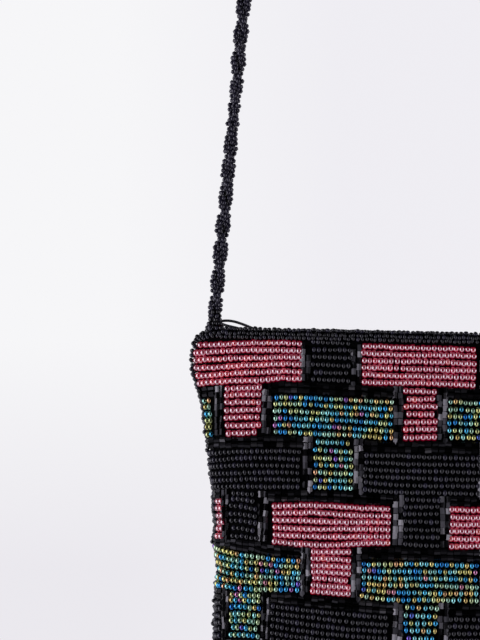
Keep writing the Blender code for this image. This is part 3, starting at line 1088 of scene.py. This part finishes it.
def make_seam_chain():
    """Beads down both side seams and along the bottom."""
    down = np.linspace(0.0010, PANEL_HEIGHT, 400)
    half_width, _ = SURFACE.halves(down, SEED_RADIUS)
    right = columns(half_width + np.interp(down, *SEAM_SHOULDER), PANEL_TOP - down)
    outline = np.concatenate([right * [-1, 1], right[::-1]])
    run = run_along(outline)
    beads = Beads(SEED)
    for depth, stand, pitch in SEAM_LANES:
        count = int(run[-1] / pitch)
        places = (np.arange(count) + 0.5) * run[-1] / count + rng.normal(0.0, 0.0001, count)
        tangent = unit(read_line(places + 0.0008, run, outline) - read_line(places - 0.0008, run, outline))
        away = columns(tangent[:, 1], -tangent[:, 0])
        stand_off = stand + rng.normal(0.0, 0.00025, count).clip(-0.0004, 0.0007)
        spot = read_line(places, run, outline) + away * stand_off[:, None]
        place = np.insert(spot, 1, depth + rng.normal(0.0, 0.0002, count), axis=1)
        along, out = np.insert(tangent, 1, 0.0, axis=1), np.insert(away, 1, 0.0, axis=1)
        hole = along * rng.normal(0.6, 0.35, (count, 1)) + out * rng.normal(0.0, 0.45, (count, 1))
        sew_small(beads, place, unit(hole + [0.0, 0.35, 0.0]), out, 0.08, 1.08, 1.06)
    beads.make("seam_beads", "black", ("seam_edging",))


def make_roots():
    """The knob of beads at each end of the strap, tied round a knot of cord."""
    for label, x in (("left", -STRAP_SPREAD / 2), ("right", STRAP_SPREAD / 2)):
        beads = Beads(SEED)
        for number, (height, reach, count) in enumerate(ROOT_RINGS):
            angle = 2 * pi * (np.arange(count) + 0.5 * (number % 2)) / count + rng.normal(0.0, 0.08, count)
            out = columns(np.cos(angle), np.sin(angle), 0.0)
            place = np.array([x, 0.0, height]) + out * reach + jitter(count, 0.00012)
            hole = unit(np.cross(out, [0.0, 0.0, 1.0]) + jitter(count, 0.2))
            sew_small(beads, place, hole, out, 0.07, 1.06, 1.04)
        place, up, front = np.array([[[x, 0.0, ROOT_HEIGHT / 2]], [[0.0, 0.0, 1.0]], [[0.0, -1.0, 0.0]]])
        beads.sew(place, up, front, ROOT_CORE_LENGTH / 2, ROOT_CORE_RADIUS, np.array([CORD_TINT]))
        beads.make(f"strap_root_{label}_beads", "black", (f"strap_root_{label}",))


def make_tapes():
    """The zip's two tapes: flat in the mouth, with the left ends arched up to the strap's root."""
    right_end = STRAP_SPREAD / 2 - TAPE_INSET
    for label, side, left_end in (("front", -1, FRONT_TAPE_END), ("back", 1, BACK_TAPE_END)):
        knots = np.array(left_end) / 1000
        fine = np.linspace(0, len(knots) - 1, 40)
        curve = [smoothed(fine, np.arange(len(knots)), part, 3.0) for part in knots.T]
        flat = columns(np.linspace(knots[-1, 0], right_end, 40)[1:], -ZIP_DROP)
        middle = np.concatenate([columns(*curve), flat])
        tangent = unit(np.gradient(middle, axis=0))
        normal = columns(-tangent[:, 1], tangent[:, 0])
        inner_y = COIL_RADIUS + 0.0002
        outer_y = TAPE_PLAN[1] * (1 - np.abs(middle[:, 0] / TAPE_PLAN[0]) ** PLAN_POWER).clip(0.0) ** 0.43
        outer_y = np.maximum(outer_y, inner_y + 0.0007)
        rings, sides = [], 12
        for index in range(sides):
            angle = 2 * pi * (index + 0.5) / sides
            across = 0.5 + 0.5 * np.sign(cos(angle)) * abs(cos(angle)) ** 0.35
            up = TAPE_THICKNESS / 2 * np.sign(sin(angle)) * abs(sin(angle)) ** 0.8
            edge = middle + normal * up
            rings.append(np.insert(edge, 1, side * (inner_y + (outer_y - inner_y) * across), axis=1))
        verts = np.stack(rings, axis=1).reshape(-1, 3)
        faces = tube_faces(len(middle), sides)
        if side > 0:
            faces = faces[:, ::-1]
        piece = mesh_piece(f"zip_tape_{label}_cloth", bag_to_world(verts), faces, "tape")
        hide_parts(f"zip_tape_{label}")


def tube_faces(stations, sides):
    """Triangles of a tube with closed ends, whose points run round each station in turn."""
    faces = []
    for station in range(stations - 1):
        for index in range(sides):
            after = (index + 1) % sides
            faces += joined(station * sides, (station + 1) * sides, index, after)
    last = (stations - 1) * sides
    for index in range(1, sides - 1):
        faces.append((0, index + 1, index))
        faces.append((last, last + index, last + index + 1))
    return np.array(faces)


def make_coil():
    """The closed zip's teeth: small loops side by side, hooked from both tapes."""
    reach = STRAP_SPREAD / 2 - COIL_INSET
    count = int(2 * reach / TOOTH_PITCH)
    x = np.linspace(-reach, reach, count)
    hand = np.where(np.arange(count) % 2 == 0, 1.0, -1.0)
    place = columns(x, 0.00035 * hand, -ZIP_DROP)
    beads = Beads(SEED)
    hole, face = columns(0.0, hand, 0.0), columns(0.0 * x, 0.0, 1.0)
    beads.sew(place, hole, face, TOOTH_LENGTH / 2, TOOTH_RADIUS, tints(count))
    beads.make("zip_coil_teeth", "coil", ("zip_coil",))


def add_box(bm, centre, size):
    bmesh.ops.create_cube(bm, size=1.0, matrix=Matrix.Translation(centre) @ Matrix.Diagonal((*size, 1.0)))


def add_pull(bm, right, bottom):
    """The pull: a plate with round ends, narrower at the slider's, where it has an eye."""
    length, width, thickness = PULL_SIZE
    half = width / 2
    outline, eye, count = [], [], 24
    for step in range(count):
        angle = 2 * pi * step / count
        end = 1 if cos(angle) >= 0 else -1
        x = right - length / 2 + end * (length / 2 - half) + half * cos(angle)
        outline.append((x, half * sin(angle) * (1.0 if end < 0 else PULL_TAPER)))
        eye.append((right - EYE_INSET + EYE_SIZE[0] / 2 * cos(angle), EYE_SIZE[1] / 2 * sin(angle)))
    loops = []
    for points, lift in ((outline, 0.0), (outline, thickness), (eye, thickness), (eye, 0.0)):
        loops.append([bm.verts.new((x, y, bottom + lift)) for x, y in points])
    for first, second in zip(loops, loops[1:] + loops[:1]):
        for index in range(count):
            after = (index + 1) % count
            bm.faces.new((first[index], first[after], second[after], second[index]))


def make_slider():
    """The slider and its pull, with rounded edges and an eye in the pull."""
    low, high = (np.array(corner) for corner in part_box("zip_slider"))
    right, bottom = high[0], low[2]
    length = SLIDER_SIZE[0]
    body, bridge, pull = (bottom + height for height in SLIDER_HEIGHTS)
    bm = bmesh.new()
    centre = Vector((right - length / 2, 0.0, body))
    add_box(bm, centre, SLIDER_SIZE)
    for vert in bm.verts:
        if vert.co.x < centre.x:
            vert.co.y *= SLIDER_TAPER
    add_box(bm, Vector((right - length * BRIDGE_PLACE, 0.0, bridge)), BRIDGE_SIZE)
    bmesh.ops.bevel(bm, geom=list(bm.edges), offset=SLIDER_BEVEL, segments=2, affect="EDGES")
    add_pull(bm, right - length * PULL_PLACE, pull)
    bmesh.ops.recalc_face_normals(bm, faces=bm.faces)
    mesh = bpy.data.meshes.new("zip_slider_and_pull")
    bm.to_mesh(mesh)
    bm.free()
    mesh.shade_smooth()
    mesh.set_sharp_from_angle(angle=radians(40))
    mesh.materials.append(LOOKS["metal"][0])
    slider = add_object("zip_slider_and_pull", mesh)
    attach(slider, "root")
    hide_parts("zip_slider")


# Camera, lights and floor

# The size of a pixel at the front of the bag, and where in the picture the middle of its top edge is.
PIXEL = 0.00032
FRONT_PLANE = -0.012
CAMERA_DISTANCE = 0.65
BAG_MIDDLE_PIXEL = (421, 331)
IMAGE_MIDDLE_PIXEL = (240, 320)
IMAGE_HEIGHT = 640
# How light the room is, from behind the camera (0) to behind the bag (1).
ROOM = (
    (0.0, 0.010),
    (0.11, 0.012),
    (0.19, 0.36),
    (0.26, 0.66),
    (0.46, 0.66),
    (0.57, 0.16),
    (0.72, 0.16),
    (0.88, 0.45),
    (1.0, 0.60),
)
# How much of that light there is from straight down (0) to straight up (1).
HEIGHTS = ((0.0, 1.0), (0.56, 1.0), (0.78, 0.20), (1.0, 0.15))
# The wall behind the bag, as the camera sees it: left of the bag low down and higher up, and right.
# They differ by painted shade: the wall is darker low on the left and on the right.
LEFT_WALL_LOW = (0.828, 0.812, 0.855, 1.0)
LEFT_WALL = (0.923, 0.921, 0.938, 1.0)
RIGHT_WALL = (0.862, 0.850, 0.893, 1.0)
# Two softboxes that face the bag: place and radiance.
SOFTBOXES = {"left_softbox": ((-1.1, -0.25, -0.55), 1.36), "right_softbox": ((1.1, -0.25, -0.55), 0.68)}
LIGHT_TARGET = (0.0, 0.0, -0.62)
LIGHT_COLOUR = (0.985, 0.965, 1.04)
LIGHT_SIZE = (1.5, 1.3)
FLOOR_SIZE = 8.0
FLOOR_HEIGHT = -1.40


def make_camera():
    data = bpy.data.cameras.new("camera")
    data.sensor_width = 36.0
    data.lens = data.sensor_width * CAMERA_DISTANCE / (IMAGE_HEIGHT * PIXEL)
    data.clip_start = 0.05
    camera = add_object("camera", data)
    x = (IMAGE_MIDDLE_PIXEL[0] - BAG_MIDDLE_PIXEL[0]) * PIXEL
    z = -STRAP_DROP + (BAG_MIDDLE_PIXEL[1] - IMAGE_MIDDLE_PIXEL[1]) * PIXEL
    camera.location = (x, FRONT_PLANE - CAMERA_DISTANCE, z)
    camera.rotation_euler = (pi / 2, 0.0, 0.0)
    bpy.context.scene.camera = camera


def softbox(name, place, radiance):
    width, height = LIGHT_SIZE
    data = bpy.data.lights.new(name, "AREA")
    data.shape = "RECTANGLE"
    data.size = width
    data.size_y = height
    data.energy = radiance * pi * width * height
    data.color = LIGHT_COLOUR
    light = add_object(name, data)
    light.location = place
    light.rotation_euler = (Vector(LIGHT_TARGET) - Vector(place)).to_track_quat("-Z", "Y").to_euler()
    light.visible_camera = False


def blend(share, first, second):
    """A colour that turns from the first into the second. The first may be another node's."""
    node = share.id_data.nodes.new("ShaderNodeMix")
    node.data_type = "RGBA"
    link(share, node.inputs[0])
    if isinstance(first, tuple):
        node.inputs[6].default_value = first
    else:
        link(first, node.inputs[6])
    node.inputs[7].default_value = second
    return node.outputs[2]


def make_lights():
    for name, (place, radiance) in SOFTBOXES.items():
        softbox(name, place, radiance)

    world = bpy.data.worlds.new("studio")
    bpy.context.scene.world = world
    world.use_nodes = True
    nodes = world.node_tree.nodes
    nodes.clear()
    room = nodes.new("ShaderNodeBackground")
    wall = nodes.new("ShaderNodeBackground")
    direction = nodes.new("ShaderNodeTexCoord")
    parts = nodes.new("ShaderNodeSeparateXYZ")
    link(direction.outputs["Generated"], parts.inputs["Vector"])
    across, depth, height = parts.outputs
    walls = [(place, (grey, 0.98 * grey, 1.05 * grey)) for place, grey in ROOM]
    link(ramp(map_range(depth, limits=(-1.0, 1.0)), walls), room.inputs["Color"])
    shares = [(place, (share, share, share)) for place, share in HEIGHTS]
    link(ramp(map_range(height, limits=(-1.0, 1.0)), shares), room.inputs["Strength"])
    left_side = blend(map_range(height, limits=(-0.12, -0.01)), LEFT_WALL_LOW, LEFT_WALL)
    link(blend(map_range(across, limits=(-0.06, 0.05)), left_side, RIGHT_WALL), wall.inputs["Color"])
    path = nodes.new("ShaderNodeLightPath")
    mix = nodes.new("ShaderNodeMixShader")
    out = nodes.new("ShaderNodeOutputWorld")
    link(path.outputs["Is Camera Ray"], mix.inputs["Fac"])
    link(room.outputs["Background"], mix.inputs[1])
    link(wall.outputs["Background"], mix.inputs[2])
    link(mix.outputs["Shader"], out.inputs["Surface"])
    bpy.context.scene.view_settings.view_transform = "Standard"


def make_floor():
    bpy.ops.mesh.primitive_plane_add(size=FLOOR_SIZE, location=(0.0, 0.0, FLOOR_HEIGHT))
    floor = bpy.context.object
    floor.name = "floor"
    colour, glow = (0.15, 0.15, 0.155, 1.0), (0.97, 0.955, 1.0, 1.0)
    material, _, shader = new_material("pale_floor", Base_Color=colour, Roughness=0.9)
    put(shader, Emission_Color=glow, Emission_Strength=0.74)
    floor.data.materials.append(material)
    floor.visible_diffuse = False
    floor.visible_glossy = False


make_camera()
make_lights()
make_floor()
make_panels()
make_cloth()
make_top_edging()
make_seam_chain()
make_roots()
make_tapes()
make_coil()
make_slider()
make_strap()
